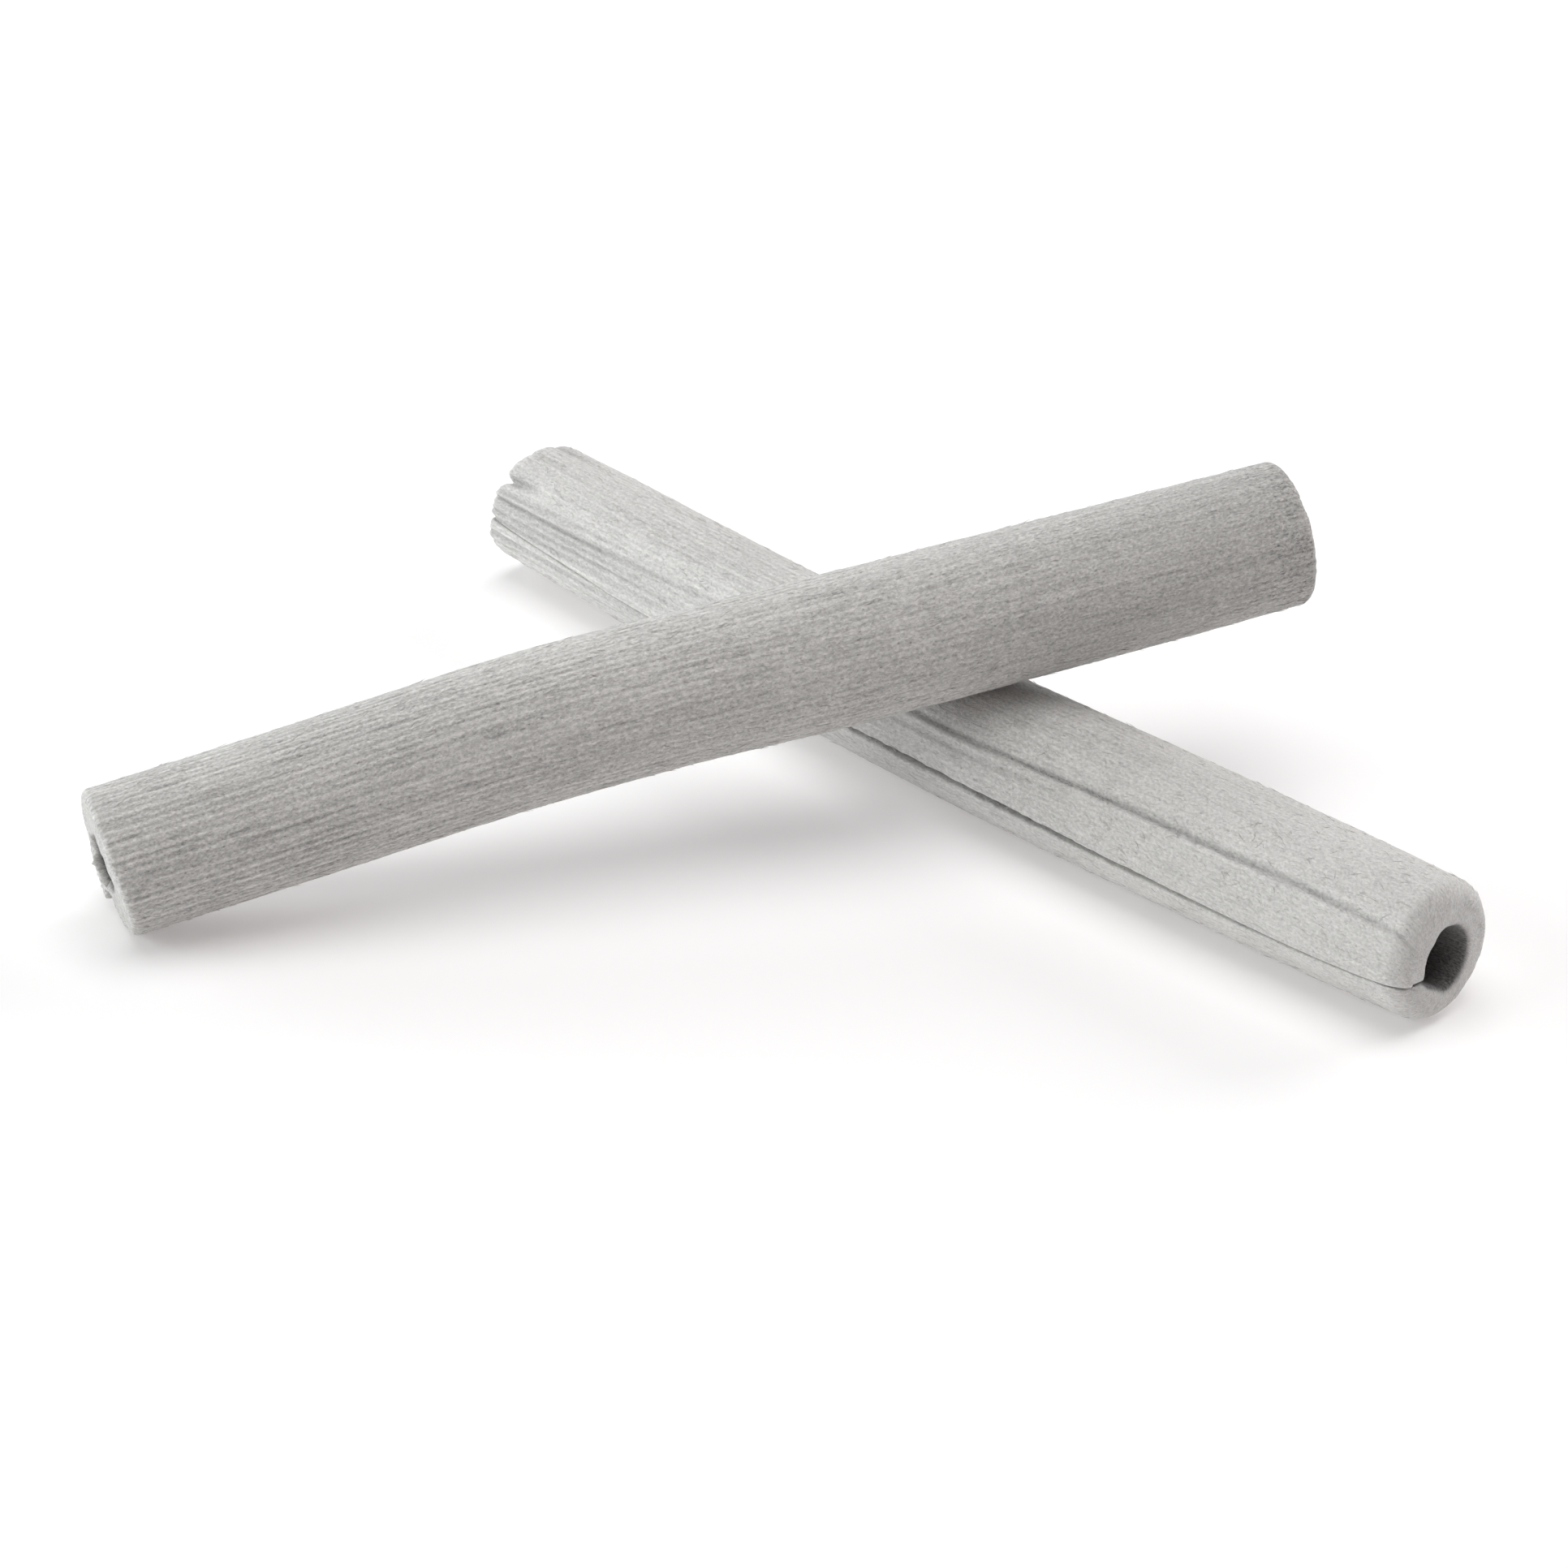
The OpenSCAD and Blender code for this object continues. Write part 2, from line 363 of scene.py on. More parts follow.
def place_on(line, s, r, degrees):
    """Point at each s, radius and angle. The soft felt is flat where it rests on the table."""
    points, _, sideways, upward = line.at(s)
    a = np.radians(degrees)[..., None]
    radial = np.cos(a) * sideways + np.sin(a) * upward
    points = points + r[..., None] * radial
    points[..., 2] = np.where(points[..., 2] < 0, TABLE_GIVE * points[..., 2], points[..., 2])
    return points, radial


def turned_in(radius, wall, inward, tilt):
    """How far the surface has moved through the wall: round its edge, then across the end face."""
    radius = np.minimum(radius, 0.45 * wall)
    across = radius + (wall / 2 - radius - MID_WALL_GAP) * inward
    return np.where(inward > 0, across, radius * (1 - np.cos(tilt)))


def face_bulge(roll, w, r):
    """How far the felt stands out of an end face."""
    broad = noise(w / 1.1, r / 0.8, roll.seed + 11)
    fine = noise(w / 0.35, r / 0.3, roll.seed + 12)
    return 0.035 * broad + 0.02 * fine


def torn_mouth(roll, w, r, hollow, degrees):
    """How far the torn edge round the near hollow stands out of the end face."""
    angle, height, spread = roll.mouth_lip
    torn = ridge(r - hollow, 0.55) * ridge(angle_away(degrees, angle), spread)
    return height * torn * (0.7 + 0.7 * noise(w / 0.4, r / 0.3, roll.seed + 16))


def roll_surface(roll, line):
    """The whole surface in rows along the roll by columns round the sheet: its points, its place on
    the sheet, and the values that its material reads."""
    plan = row_plan(line.length, roll.rims)
    s, tilt, inward, rim = (plan[:, i][:, None] for i in range(4))
    degrees, depth, share, from_edge = roll_columns(roll, plan[:, 0])
    s = s + 0 * degrees
    w = np.radians(degrees) * BARREL_R
    outwards = np.where(np.arange(len(plan)) < len(plan) // 2, -1, 1)[:, None]
    from_end = np.minimum(s, line.length - s)
    face = np.sin(tilt) ** 2
    outer = outer_radius(roll, line, s, degrees)
    hollow = hollow_radius(roll, line, s, share)
    wall = outer - hollow

    # the outside, with a soft rim that turns in across the end face
    lip = LIP + END_LIP * smooth(1 - from_end / END_LIP_REACH) * (share < 0.5)
    lip_drop = LIP_SINK * edge_drop(from_edge, lip)
    height, groove, ribs = relief(roll, line, s, w, degrees)
    height = height - lip_drop
    r_out = outer - turned_in(rim, wall, inward, tilt) + height * np.cos(tilt)
    s_out = s + height * np.sin(tilt) * outwards

    # the hollow, with a tighter edge that turns out across the end face
    mouth = np.where(outwards < 0, *roll.mouths)
    r_in = hollow + turned_in(mouth, wall, inward, tilt)
    s_in = s + outwards * np.where(from_end <= rim, from_end * (1 - mouth / rim), 0)
    s_in = s_in - outwards * lip_drop * np.sin(tilt)

    # the two together, with the end faces' own unevenness
    r = r_out * (1 - depth) + r_in * depth
    along = s_out * (1 - depth) + s_in * depth
    along = along + outwards * face * face_bulge(roll, w, r)
    along = along - torn_mouth(roll, w, r, hollow, degrees) * face * (outwards < 0)
    through = np.clip((outer - r) / wall, 0, 1)
    along = along + end_shift(roll, line, s, degrees, share) * (1 - EVEN_INSIDE * through)
    points, _ = place_on(line, along, r, degrees + stations(roll.slant, s) * through)
    looks = {
        # painted shade in the nicks, rib valleys, creases and pleats
        "groove": groove * np.cos(tilt) * (1 - depth),
        # painted shade deep in the hollow
        "inside": depth * smooth(from_end / HOLLOW_SHADE_DEPTH),
        # painted light and shade along the roll
        "shade": stations(roll.shade, s),
        "cut_wear": roll.cut_wear * smooth(1 - (line.length - s) / END_REACH) * (1 - depth),
        # the rib count and strength drive the painted light and shade of the ribs
        "rib_count": ribs,
        "rib_strength": stations(roll.ribs, s) * np.cos(tilt) * (1 - depth),
    }
    return points, np.stack([along, w, r - BARREL_R], -1), looks


def ring_quads(rings, columns):
    """Quads that join each closed ring of vertices to the next one."""
    ring, column = np.meshgrid(np.arange(rings - 1), np.arange(columns), indexing="ij")
    here = ring * columns + column
    beside = ring * columns + (column + 1) % columns
    return np.stack([here, here + columns, beside + columns, beside], -1).reshape(-1, 4)


def roll_faces(rows, columns):
    """Quads round every row, and the strips that close the two end faces along mid wall."""
    faces = ring_quads(rows, columns).tolist()
    hollow_start = ROUND_COLUMNS + LIP_COLUMNS
    for row, flip in ((0, False), (rows - 1, True)):
        for i in range(HOLLOW_COLUMNS - 1):
            outside = [OUTSIDE_PER_HOLLOW * i + n for n in range(OUTSIDE_PER_HOLLOW + 1)]
            inside = [hollow_start + HOLLOW_COLUMNS - 1 - i - n for n in (1, 0)]
            first_lip, last_lip = [], []
            if i == 0:
                first_lip = [hollow_start + HOLLOW_COLUMNS + n for n in range(LIP_COLUMNS)]
            if i == HOLLOW_COLUMNS - 2:
                last_lip = [ROUND_COLUMNS + n for n in range(LIP_COLUMNS)]
            loop = [row * columns + n for n in outside + last_lip + inside + first_lip]
            faces.append(loop[::-1] if flip else loop)
    return faces


def wound_alike(faces, roll):
    """The faces wound the same way on both rolls, whose angles run round opposite ways."""
    return faces if roll.side > 0 else [face[::-1] for face in faces]


def mesh_object(name, points_mm, faces, attributes=()):
    """A smooth-shaded object from points in mm, with vertex attributes as (name, type, values). Every
    piece's faces come wound with their fronts inwards."""
    mesh = bpy.data.meshes.new(name)
    mesh.from_pydata((np.asarray(points_mm) * MM).tolist(), [], faces)
    for label, kind, values in attributes:
        field = "vector" if kind == "FLOAT_VECTOR" else "value"
        data = mesh.attributes.new(label, kind, "POINT").data
        data.foreach_set(field, np.ravel(values).astype(np.float32))
    mesh.polygons.foreach_set("use_smooth", np.ones(len(mesh.polygons), bool))
    mesh.update()
    obj = bpy.data.objects.new(name, mesh)
    bpy.context.scene.collection.objects.link(obj)
    return obj


def build_felt(roll, line):
    points, place, looks = roll_surface(roll, line)
    return mesh_object(
        roll.name + "_felt",
        points.reshape(-1, 3),
        wound_alike(roll_faces(*place.shape[:2]), roll),
        [("roll_place", "FLOAT_VECTOR", place)] + [(label, "FLOAT", looks[label]) for label in looks],
    )


# ---------------------------------------------------------------- paste in the seam

PASTE_TOP = 2.95           # outer radius of the paste strip
PASTE_BOTTOM = 2.0
PASTE_INSET = 1.3          # the strip stops short of the ends
PASTE_STEP = 0.25          # spacing of its rows
PASTE_OVERLAP = 0.3        # degrees by which it reaches into the felt on each side
PASTE_SLANT = 0.6          # share of the seam's slant that its bottom follows
PASTE_OUTLINE = (          # across the strip, -1 to 1, and up it, 0 to 1
    (-1, 0.92), (-0.5, 1), (0.5, 1), (1, 0.92), (1, 0.04), (0.5, 0), (-0.5, 0), (-1, 0.04),
)


def build_paste(roll, line):
    s = np.arange(PASTE_INSET, line.length - PASTE_INSET, PASTE_STEP)
    half = np.degrees(stations(roll.gap, s) / SEAM_R) + PASTE_OVERLAP
    top = PASTE_TOP + 0.18 * noise(s / 0.8, s * 0, roll.seed + 20)
    top = top + 0.1 * noise(s / 0.3, s * 0, roll.seed + 21)
    across, level = np.array(PASTE_OUTLINE).T
    degrees = stations(roll.seam, s)[:, None] + half[:, None] * across
    degrees = degrees + stations(roll.slant, s)[:, None] * (1 - level) * PASTE_SLANT
    r = PASTE_BOTTOM + (top[:, None] - PASTE_BOTTOM) * level
    grid_s = s[:, None] + 0 * degrees
    points, _ = place_on(line, grid_s, r, degrees)
    rows, columns = degrees.shape
    faces = ring_quads(rows, columns).tolist()
    faces.append(list(range(columns)))
    faces.append([(rows - 1) * columns + j for j in reversed(range(columns))])
    place = np.stack([grid_s, np.radians(degrees) * BARREL_R, r - BARREL_R], -1)
    return mesh_object(
        roll.name + "_paste_line",
        points.reshape(-1, 3),
        wound_alike(faces, roll),
        [("roll_place", "FLOAT_VECTOR", place)],
    )


# ---------------------------------------------------------------- loose fibres on the felt

FIBRE_COUNT = 7000
FIBRE_SIDES = 3
FIBRE_R = 0.014
FIBRE_TAPER = np.array([0.55, 1, 0.9, 0.4])   # thickness of each ring along a fibre
FIBRE_LENGTH = (0.3, 1.0)
FIBRE_CURL = 0.6           # spread in radians
FIBRE_SINK = 0.012         # how deep a fibre's ends lie in the felt
LEAN_PLAIN = 32            # spread in degrees off the roll's direction, on plain felt
LEAN_RIBBED = 16           # and on ribbed felt
STRAY_SHARE = 0.12         # share of the fibres that stand clear of the felt
STRAY_LIFT = (0.04, 0.12)
LYING_LIFT = (0.0, 0.025)


def fibre_lines(roll, line, rng):
    """Centre lines of all the fibres on a roll, the roll's outward direction, and their place on it."""
    n = FIBRE_COUNT
    s0 = rng.uniform(0.2, line.length - 0.2, n)
    share = rng.uniform(0.01, 0.99, n)
    w0 = np.radians(stations(roll.seam, s0) + 360 * share) * BARREL_R
    ribbed = np.clip(stations(roll.ribs, s0), 0, 1)
    lean = np.radians(rng.normal(0, 1, n) * (LEAN_PLAIN + (LEAN_RIBBED - LEAN_PLAIN) * ribbed))
    length = rng.uniform(*FIBRE_LENGTH, n)
    curl = rng.normal(0, FIBRE_CURL, n)
    stray = rng.uniform(0, 1, n) < STRAY_SHARE
    lift = np.where(stray, rng.uniform(*STRAY_LIFT, n), rng.uniform(*LYING_LIFT, n))
    t = np.linspace(0, 1, len(FIBRE_TAPER))[None, :]
    turn = lean[:, None] + curl[:, None] * (t - 0.5)
    s = s0[:, None] + length[:, None] * (t - 0.5) * np.cos(turn)
    w = w0[:, None] + length[:, None] * (t - 0.5) * np.sin(turn)
    s = np.clip(s, 0.05, line.length - 0.05)
    degrees = np.degrees(w / BARREL_R)
    drop = edge_drop(s, roll.rims[0]) + edge_drop(line.length - s, roll.rims[1])
    height, _, _ = relief(roll, line, s, w, degrees)
    bow = np.where(stray[:, None], t**1.5, np.sin(math.pi * t))
    r = outer_radius(roll, line, s, degrees) - drop + height - FIBRE_SINK + lift[:, None] * bow
    along = s + end_shift(roll, line, s, degrees, share[:, None])
    centre, radial = place_on(line, along, r, degrees)
    return centre, radial, np.stack([s, w, r - BARREL_R], -1)


def build_fibres(roll, line):
    """Short curved fibres that lie on the felt, a few of them standing clear of it."""
    rng = np.random.default_rng(roll.seed + 30)
    centre, radial, place = fibre_lines(roll, line, rng)
    tangent = np.gradient(centre, axis=1)
    tangent /= np.linalg.norm(tangent, axis=2)[..., None]
    across = np.cross(tangent, radial)
    across /= np.linalg.norm(across, axis=2)[..., None]
    out = np.cross(across, tangent)
    ring = np.arange(FIBRE_SIDES)
    around = TAU * ring / FIBRE_SIDES
    thick = FIBRE_R * rng.uniform(0.7, 1.3, FIBRE_COUNT)[:, None] * FIBRE_TAPER
    points = centre[:, :, None, :] + thick[:, :, None, None] * (
        np.cos(around)[None, None, :, None] * across[:, :, None, :]
        + np.sin(around)[None, None, :, None] * out[:, :, None, :]
    )
    per_fibre = len(FIBRE_TAPER) * FIBRE_SIDES
    sides = ring_quads(len(FIBRE_TAPER), FIBRE_SIDES)[:, [0, 3, 2, 1]]
    caps = np.array([ring[::-1], per_fibre - FIBRE_SIDES + ring])
    starts = (np.arange(FIBRE_COUNT) * per_fibre)[:, None, None]
    faces = (sides + starts).reshape(-1, 4).tolist() + (caps + starts).reshape(-1, FIBRE_SIDES).tolist()
    return mesh_object(
        roll.name + "_loose_fibres",
        points.reshape(-1, 3),
        faces,
        [("roll_place", "FLOAT_VECTOR", np.repeat(place[:, :, None, :], FIBRE_SIDES, axis=2))],
    )


# ---------------------------------------------------------------- materials

MIX_DARK, MIX_LIGHT = 6, 7     # the colour sockets of a mix node
MIX_RESULT = 2


class Nodes:
    """Short calls for wiring a material."""

    def __init__(self, name):
        self.material = bpy.data.materials.new(name)
        self.material.use_nodes = True
        self.tree = self.material.node_tree
        self.shader = self.tree.nodes["Principled BSDF"]

    def add(self, kind, inputs=(), **settings):
        node = self.tree.nodes.new(kind)
        for key, value in settings.items():
            setattr(node, key, value)
        for key, value in dict(inputs).items():
            self.put(node, key, value)
        return node

    def put(self, node, key, value):
        if isinstance(value, bpy.types.NodeSocket):
            self.tree.links.new(value, node.inputs[key])
        else:
            node.inputs[key].default_value = value

    def math(self, operation, a, b=0.0):
        node = self.add("ShaderNodeMath", operation=operation)
        self.put(node, 0, a)
        self.put(node, 1, b)
        return node.outputs[0]

    def place(self):
        return self.add("ShaderNodeAttribute", attribute_name="roll_place").outputs["Vector"]

    def value(self, label):
        return self.add("ShaderNodeAttribute", attribute_name=label).outputs["Fac"]

    def stretched(self, place, cell, turn=0.0):
        """Place turned by some degrees in the surface and divided by a cell size in mm."""
        turned = {"Vector": place, "Angle": math.radians(turn)}
        spun = self.add("ShaderNodeVectorRotate", turned, rotation_type="Z_AXIS").outputs[0]
        scaled = {"Vector": spun, "Scale": [1 / c for c in cell]}
        return self.add("ShaderNodeMapping", scaled, vector_type="POINT").outputs[0]

    def noise(self, place, cell, detail=2.0, turn=0.0):
        vector = self.stretched(place, cell, turn)
        inputs = {"Vector": vector, "Scale": 1.0, "Detail": detail, "Roughness": 0.55}
        return self.add("ShaderNodeTexNoise", inputs).outputs[0]

    def ramp(self, value, low, high, from_min, from_max):
        ends = {"From Min": from_min, "From Max": from_max, "To Min": low, "To Max": high}
        return self.add("ShaderNodeMapRange", {"Value": value, **ends}).outputs[0]

    def two_tones(self, value, dark, light):
        """Dark to light as value goes through its middle third."""
        factor = self.ramp(value, 0, 1, 0.35, 0.65)
        mix = self.add("ShaderNodeMix", {"Factor": factor}, data_type="RGBA")
        self.put(mix, MIX_DARK, (*dark, 1))
        self.put(mix, MIX_LIGHT, (*light, 1))
        return mix.outputs[MIX_RESULT]

    def bump(self, height, strength, distance_mm):
        inputs = {"Height": height, "Strength": strength, "Distance": distance_mm * MM}
        return self.add("ShaderNodeBump", inputs).outputs[0]

    def finish(self, inputs):
        """The material, once the shader has its inputs."""
        for key, value in inputs.items():
            self.put(self.shader, key, value)
        return self.material


# (turn in degrees, length, width) of the felt's matted fibres, in mm
STREAKS = ((3, 0.9, 0.06), (-18, 0.6, 0.055), (24, 0.55, 0.055), (-52, 0.4, 0.055), (66, 0.38, 0.05))
STREAK_DEPTH = 0.25        # cell size across the sheet


def fibre_pattern(nodes, place):
    """Fine matted fibres, 0 to 1: the strongest of several narrow streaks at each spot."""
    streaks = None
    for turn, long, wide in STREAKS:
        one = nodes.noise(place, (long, wide, STREAK_DEPTH), 1.0, turn)
        one = nodes.ramp(one, 0.0, 1.0, 0.45, 0.72)
        streaks = one if streaks is None else nodes.math("MAXIMUM", streaks, one)
    return streaks


def painted_rib_shading(nodes, place):
    """Painted light and shade of the fine ribs along the roll, times their strength: lighter along their
    crests and darker in their valleys, every second one bolder where they are strong.
    """
    ragged = nodes.ramp(nodes.noise(place, (0.8, 0.3, 0.3), 2.0), -0.22, 0.22, 0.2, 0.8)
    count = nodes.math("ADD", nodes.value("rib_count"), ragged)
    strength = nodes.value("rib_strength")
    fine = nodes.math("COSINE", nodes.math("MULTIPLY", count, TAU))
    bold = nodes.math("COSINE", nodes.math("MULTIPLY", count, TAU / 2))
    fine = nodes.math("MULTIPLY", fine, strength)
    bold = nodes.math("MULTIPLY", bold, nodes.ramp(strength, 0.0, 1.4, 1.0, 1.9))
    return nodes.math("ADD", fine, bold)


DARKEST_FELT = 0.14        # share of its base colour that the felt keeps deep in the hollow, under the painted shade there


def felt_material(name, base, grit, rib_share):
    """Grey rag felt: mottled, ribbed along the roll, with dark nicks and pits, fine grain and fibres, and
    painted light and shade on its ribs, in its grooves, deep in its hollow and along the roll.
    """
    nodes = Nodes(name)
    place = nodes.place()
    streak = nodes.noise(place, (2.4, 0.14, 0.3), 2.0)
    grain = nodes.noise(place, (0.19, 0.12, 0.12), 2.0)
    pits = nodes.noise(place, (0.24, 0.13, 0.2), 1.0)
    nick = nodes.noise(place, (1.5, 0.12, 0.3), 1.0)
    frayed = nodes.ramp(nodes.noise(place, (0.22, 0.13, 0.2), 2.0), 0.0, 1.0, 0.5, 0.72)
    fibres = fibre_pattern(nodes, place)
    layers = (             # pattern, change in tone at its low and high ends, and where those ends are
        (nodes.noise(place, (5.0, 2.0, 2.0), 3.0), -0.04, 0.04, 0.3, 0.7),
        (nodes.noise(place, (11.0, 0.36, 0.5), 1.0), -0.06 * rib_share, 0.06 * rib_share, 0.3, 0.7),
        (streak, -0.035, 0.035, 0.3, 0.7),
        # painted light and shade on the ribs
        (painted_rib_shading(nodes, place), -0.18, 0.18, -3.0, 3.0),
        (grain, -0.34 * grit, 0.34 * grit, 0.25, 0.75),
        (pits, 0.0, -0.34 * grit, 0.62, 0.76),
        (nick, 0.0, -0.18 * grit, 0.63, 0.75),
        (fibres, -0.06 * grit, 0.16 * grit, 0.0, 1.0),
        # painted light and shade along the roll: lighter and darker stretches
        (nodes.value("shade"), -0.3, 0.3, -0.3, 0.3),
        (nodes.math("MULTIPLY", frayed, nodes.value("cut_wear")), 0.0, -0.5, 0.0, 1.0),
        # painted shade in the nicks, rib valleys, creases and pleats
        (nodes.value("groove"), 0.0, -0.36, 0.0, 1.0),
        # painted shade deep in the hollow
        (nodes.value("inside"), 0.0, -0.75, 0.0, 1.0),
    )
    tone = 1.0
    for layer in layers:
        tone = nodes.math("ADD", tone, nodes.ramp(*layer))
    tone = nodes.math("MAXIMUM", tone, DARKEST_FELT)
    colour = nodes.add("ShaderNodeVectorMath", {0: base, "Scale": tone}, operation="SCALE").outputs[0]
    height = nodes.math("ADD", nodes.math("MULTIPLY", fibres, 0.6), grain)
    height = nodes.math("ADD", height, nodes.math("MULTIPLY", streak, 0.6))
    height = nodes.math("SUBTRACT", height, nodes.math("MULTIPLY", pits, 0.5))
    return nodes.finish({
        "Base Color": colour,
        "Roughness": nodes.ramp(fibres, 0.95, 0.85, 0, 1),
        "Specular IOR Level": 0.12,
        "Sheen Weight": 0.12,
        "Sheen Roughness": 0.6,
        "Normal": nodes.bump(height, 0.8 * grit, 0.06),
    })


def fibre_material():
    nodes = Nodes("felt_fibre")
    vary = nodes.noise(nodes.place(), (0.9, 0.4, 0.4), 1.0)
    return nodes.finish({
        "Base Color": nodes.two_tones(vary, dark=(0.46, 0.45, 0.44), light=(0.62, 0.61, 0.59)),
        "Roughness": nodes.ramp(vary, 0.75, 0.9, 0.3, 0.7),
        "Specular IOR Level": 0.2,
    })


def paste_material():
    nodes = Nodes("dried_paste")
    blot = nodes.noise(nodes.place(), (0.7, 0.3, 0.4), 3.0)
    return nodes.finish({
        "Base Color": nodes.two_tones(blot, dark=(0.16, 0.135, 0.115), light=(0.34, 0.30, 0.26)),
        "Roughness": nodes.ramp(blot, 0.55, 0.8, 0.3, 0.7),
        "Normal": nodes.bump(blot, 0.5, 0.05),
    })


def floor_material():
    """Pale backlit paper."""
    return Nodes("floor_paper").finish({
        "Base Color": (0.86, 0.86, 0.86, 1),
        "Emission Color": (1, 0.95, 0.945, 1),
        "Emission Strength": 0.19,
        "Roughness": 0.9,
        "Specular IOR Level": 0.1,
    })


# ---------------------------------------------------------------- the two stumps

LOWER = Roll(
    name="lower", body="lower_stump",
    near="lower_hollow", far="lower_pleated_hollow",
    side=1.0, turn=19.0,
    girth=[(0, 3.62), (5, 3.72), (12, 3.77), (20, 3.75), (28, 3.67), (40, 3.6), (48, 3.48), (55, 3.43),
           (62.5, 3.3)],
    drift=[(0, 0), (10, -0.1), (25, -0.2), (39, -0.25), (52, -0.2), (62.5, -0.1)],
    drift_along=np.array([0.0, 1.0, 0.0]),
    seam=[(0, -7), (2.5, -10), (11, -13), (18, -12), (25, -10), (33, -7.5), (45, -9), (51, -9), (57, -4),
          (62.5, 0)],
    gap=[(0, 0.01), (3, 0.012), (9, 0.035), (16, 0.10), (24, 0.15), (34, 0.13), (48, 0.04), (62.5, 0.02)],
    crease=[(-1.0, 36, 0.1), (7, 38, 0.17), (12, 37, 0.2), (19, 36, 0.2), (24, 33, 0.2), (36, 35, 0.1)],
    ribs=[(0, 0.2), (20, 0.4), (32, 0.5), (42, 0.7), (62.5, 0.75)],
    # painted light and shade along the roll: darker near s 26, lighter towards the far end
    shade=[(0, 0.03), (14, 0.03), (26, -0.1), (40, 0), (52, 0.06), (62.5, 0.12)],
    flats=[(13, 0.10, 24), (-38, 0.06, 25)],
    pleats=[(44, 4, 0.36, 3.5, 4.5), (23, 16, 0.24, 26, 3), (31, 12, 0.14, 16, 2.4), (16, 12, 0.14, 22, 2.2),
            (10, 9, 0.17, 24, 2.4), (3, 5, 0.16, 22, 2.4), (-13, 2, 0.17, 22, 2.6), (-26, 0, 0.13, 18, 3),
            (55, 6, 0.05, 22, 2), (67, 4, 0.05, 26, 2), (78, -3, 0.1, 9, 2.5),
            (105, 0, 0.14, 8, 5), (140, 0, 0.2, 9, 5), (185, 0, 0.24, 8, 5),
            (230, 0, 0.2, 8, 5), (275, 0, 0.2, 8, 5), (305, 0, 0.16, 8, 4)],
    far_steps=[(-60, 0.25), (-28, 0.35), (-17, 0.25), (-9, 0.15), (-2, 0.02), (4, 0.18), (20, 0.22),
               (32, 0.12), (39, -0.2), (44, -0.42), (48, -0.1), (58, -0.02), (74, -0.2), (100, -0.35),
               (180, -0.1), (240, 0.1), (300, 0.25)],
    near_steps=[(-60, -0.15), (-10, -0.4), (50, -0.42), (110, -0.3), (200, -0.1), (300, -0.15)],
    skew=-0.1,
    slant=[(0, -20), (8, -14), (62.5, -8)],
    cut_wear=0.3,
    rims=(1.0, 0.5),
    mouths=(0.4, 0.3),
    mouth_lip=(0, 0, 40),
    hole_near=[(0, 1.78), (14, 1.6), (52, 1.42), (113, 1.55), (142, 1.45), (205, 1.5), (252, 1.8),
               (293, 1.95), (323, 1.68), (360, 1.8)],
    hole_far=[(0, 1.1), (180, 1.2), (360, 1.1)],
    seed=100,
)
UPPER = Roll(
    name="upper", body="upper_stump",
    near="upper_hollow", far="upper_raised_hollow",
    side=-1.0, turn=17.0,
    girth=[(0, 3.77), (8, 3.76), (16, 3.77), (23, 3.8), (31, 3.77), (39, 3.83), (47, 3.8), (55, 3.75),
           (62.5, 3.68)],
    drift=[(0, 0.1), (6, 0.03), (31, 0.03), (39, -0.1), (47, -0.08), (55, -0.06), (62.5, 0)],
    drift_along=np.array([0.0, 0.0, 1.0]),
    seam=[(0, -118), (30, -120), (62.5, -125)],
    gap=[(0, 0.07), (3, 0.05), (30, 0.05), (62.5, 0.06)],
    crease=[],
    ribs=[(0, 1.55), (14, 1.4), (30, 1.05), (42, 0.6), (62.5, 0.65)],
    # painted shade along the roll, darker towards the far end
    shade=[(0, 0), (36, 0), (50, -0.07), (62.5, -0.14)],
    flats=[],
    pleats=[],
    far_steps=[(-60, -0.3), (-32, -0.25), (0, -0.14), (35, -0.1), (80, -0.16), (180, -0.2), (300, -0.3)],
    near_steps=[(-60, -0.35), (-20, -0.32), (10, -0.15), (60, 0), (95, -0.1), (150, -0.2), (230, -0.12),
                (300, -0.35)],
    skew=0.25,
    slant=[(0, 6), (62.5, 6)],
    cut_wear=1.0,
    rims=(0.35, 0.5),
    mouths=(0.3, 0.3),
    mouth_lip=(200, 0.3, 70),
    hole_near=[(0, 1.42), (120, 1.35), (240, 1.48), (360, 1.42)],
    hole_far=[(0, 1.5), (180, 1.4), (360, 1.5)],
    seed=200,
)


def build_stump(roll, felt, fibre, paste):
    line = Centreline(roll)
    roll_node, paste_node = roll.name + "_felt_roll", roll.name + "_seam_paste"
    pieces = [
        (build_felt(roll, line), felt, "felt_paper", roll_node),
        (build_fibres(roll, line), fibre, "felt_paper", None),
        (build_paste(roll, line), paste, "seam_paste", paste_node),
    ]
    for obj, material, slot, node in pieces:
        obj.data.materials.append(material)
        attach(obj, roll.body)
        if node:
            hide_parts(node)


# ---------------------------------------------------------------- camera, floor and lights

CAMERA_AZIMUTH = 40.45
CAMERA_ELEVATION = 31.05
CAMERA_ROLL = -2.16
CAMERA_DISTANCE = 414.0
CAMERA_LENS = 188.7
CAMERA_SENSOR = 36
CAMERA_CLIP = 10
LOOK_AT = (-5.1, 5.63, 1.23)


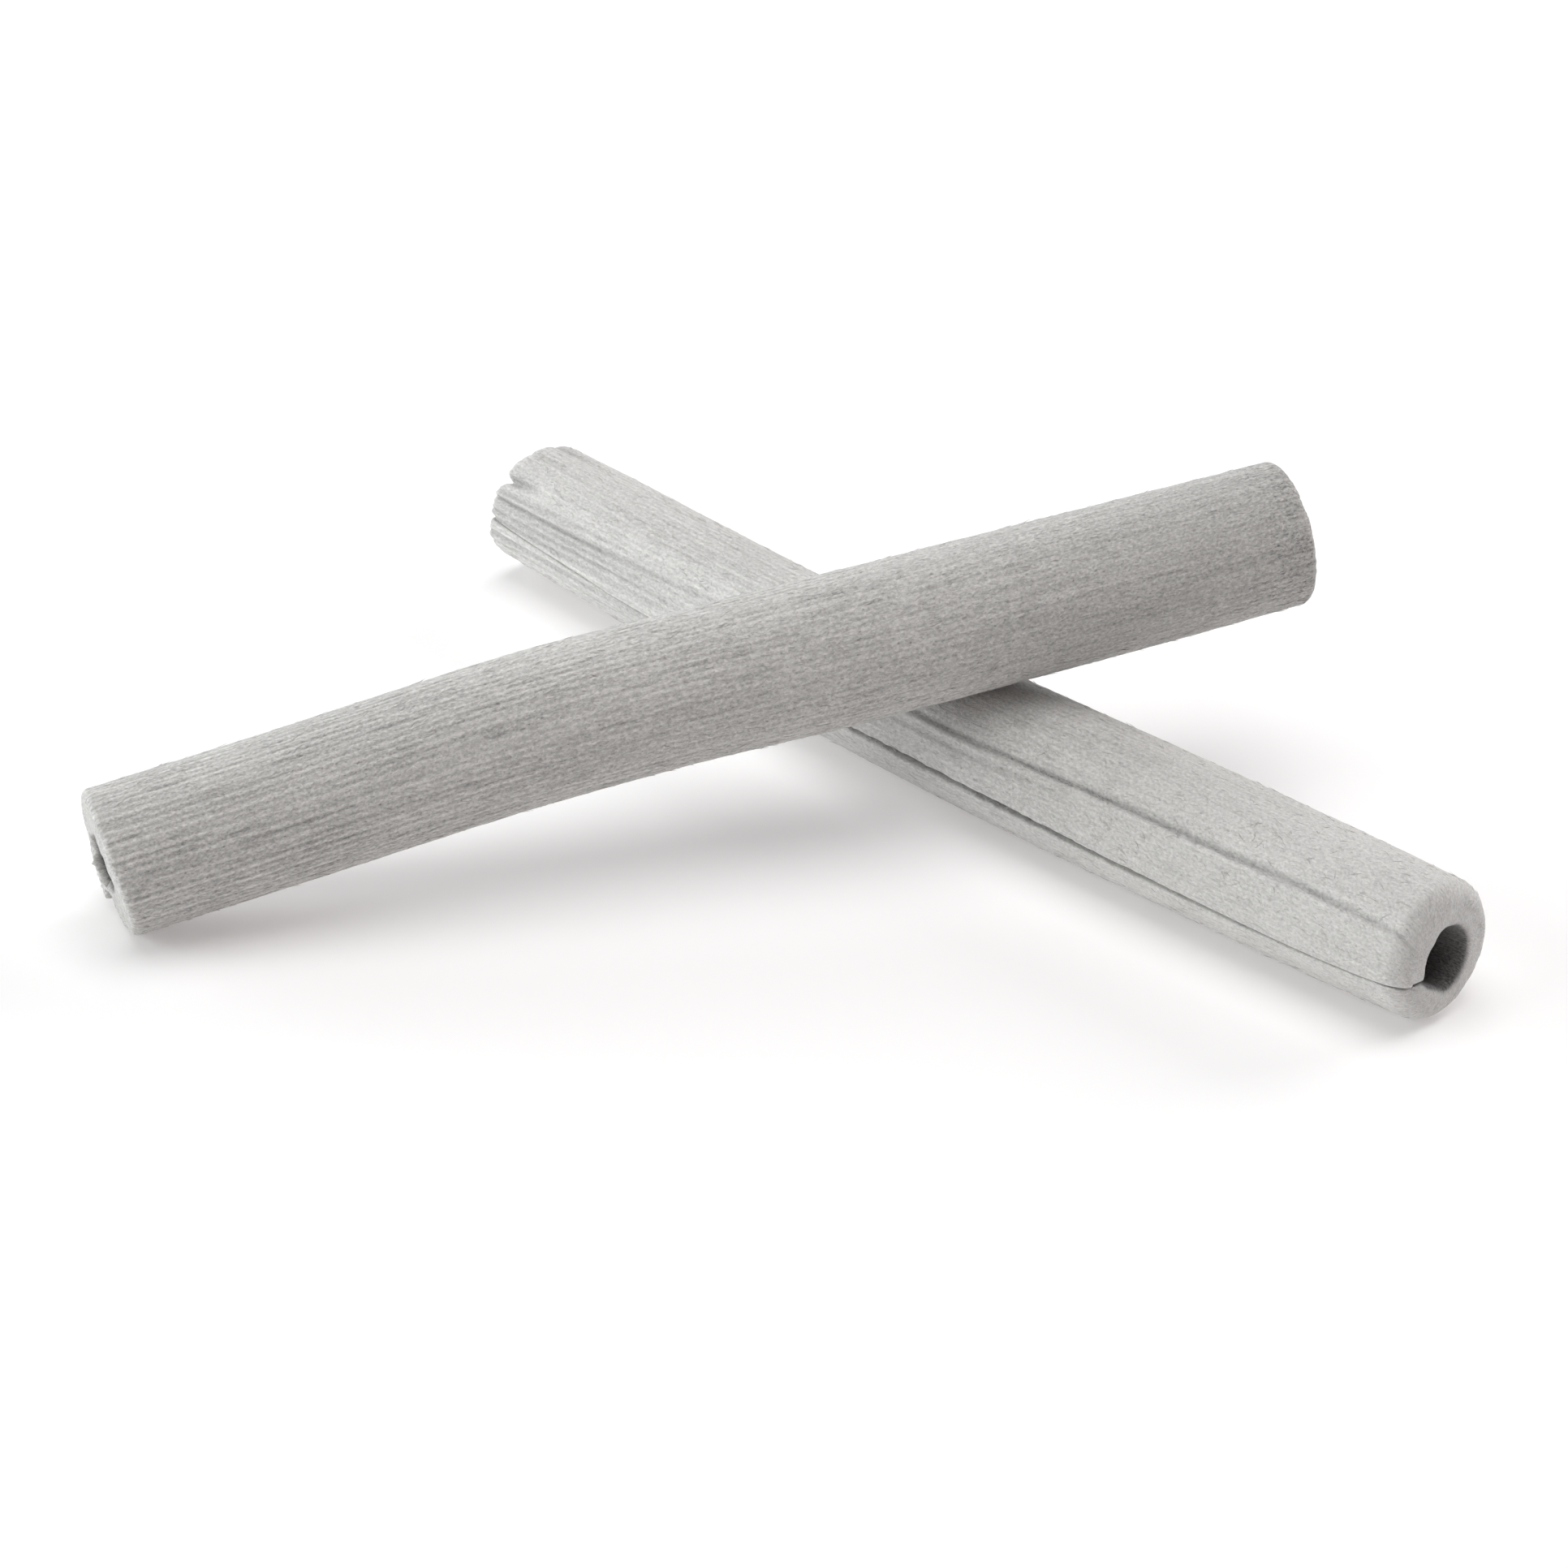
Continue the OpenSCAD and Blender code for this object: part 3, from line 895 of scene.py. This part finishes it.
def build_camera():
    a, e, roll = (math.radians(v) for v in (CAMERA_AZIMUTH, CAMERA_ELEVATION, CAMERA_ROLL))
    back = Vector((math.sin(a) * math.cos(e), -math.cos(a) * math.cos(e), math.sin(e)))
    right = Vector((math.cos(a), math.sin(a), 0))
    down = right.cross(back)
    tilted_right = right * math.cos(roll) + down * math.sin(roll)
    tilted_down = down * math.cos(roll) - right * math.sin(roll)
    camera = bpy.data.objects.new("camera", bpy.data.cameras.new("camera"))
    bpy.context.scene.collection.objects.link(camera)
    axes = Matrix((tilted_right, -tilted_down, back)).transposed().to_4x4()
    place = (Vector(LOOK_AT) + back * CAMERA_DISTANCE) * MM
    camera.matrix_world = Matrix.Translation(place) @ axes
    camera.data.lens = CAMERA_LENS
    camera.data.sensor_width = CAMERA_SENSOR
    camera.data.clip_start = CAMERA_CLIP * MM
    bpy.context.scene.camera = camera


FLOOR_HALF = 3000
FLOOR_DROP = 0.03          # the floor is just under the felt, so that the two never share a plane
WORLD_STRENGTH = 0.02

SOFTBOXES = (              # name, place and width in mm, watts, colour; all of them face the stumps
    ("left", (-1050, -50, 400), 800, 2.1, (0.93, 0.985, 1)),
    ("left_low", (-1000, -400, 100), 650, 6.2, (0.9, 0.95, 1)),
    ("front_left", (-500, -950, 375), 750, 5.7, (0.94, 1, 0.985)),
    ("top", (0, 0, 1125), 1000, 8.9, (1, 0.985, 0.985)),
    ("back_left", (-650, 825, 450), 750, 1.0, (1, 1, 1)),
    ("back", (150, 1050, 375), 750, 7.8, (1, 1, 1)),
    ("camera_side", (575, -750, 650), 750, 1.0, (1, 0.86, 0.87)),
)


def build_softbox(name, place_mm, width_mm, watts, colour):
    light = bpy.data.lights.new(name, "AREA")
    light.size = width_mm * MM
    light.energy = watts
    light.color = colour
    obj = bpy.data.objects.new(name, light)
    bpy.context.scene.collection.objects.link(obj)
    obj.location = Vector(place_mm) * MM
    obj.rotation_euler = Vector(place_mm).to_track_quat("Z", "Y").to_euler()


def build_floor():
    half = FLOOR_HALF * MM
    corners = [(-half, -half), (half, -half), (half, half), (-half, half)]
    mesh = bpy.data.meshes.new("floor")
    mesh.from_pydata([(x, y, -FLOOR_DROP * MM) for x, y in corners], [], [(0, 1, 2, 3)])
    floor = bpy.data.objects.new("floor", mesh)
    bpy.context.scene.collection.objects.link(floor)
    floor.data.materials.append(floor_material())


def build_light():
    world = bpy.data.worlds.new("studio")
    bpy.context.scene.world = world
    world.use_nodes = True
    background = world.node_tree.nodes["Background"]
    background.inputs["Color"].default_value = (1, 1, 1, 1)
    background.inputs["Strength"].default_value = WORLD_STRENGTH
    for softbox in SOFTBOXES:
        build_softbox(*softbox)
    bpy.context.scene.view_settings.view_transform = "Standard"


fibre = fibre_material()
paste = paste_material()
# The lower felt's base colour is a little lighter than the upper's: painted light, for the lamps' fall-off
# across the pair.
felt_lower = felt_material("felt_lower", (0.583, 0.572, 0.558), grit=0.6, rib_share=0.5)
felt_upper = felt_material("felt_upper", (0.563, 0.549, 0.532), grit=0.85, rib_share=1.3)
build_stump(LOWER, felt_lower, fibre, paste)
build_stump(UPPER, felt_upper, fibre, paste)
build_camera()
build_floor()
build_light()
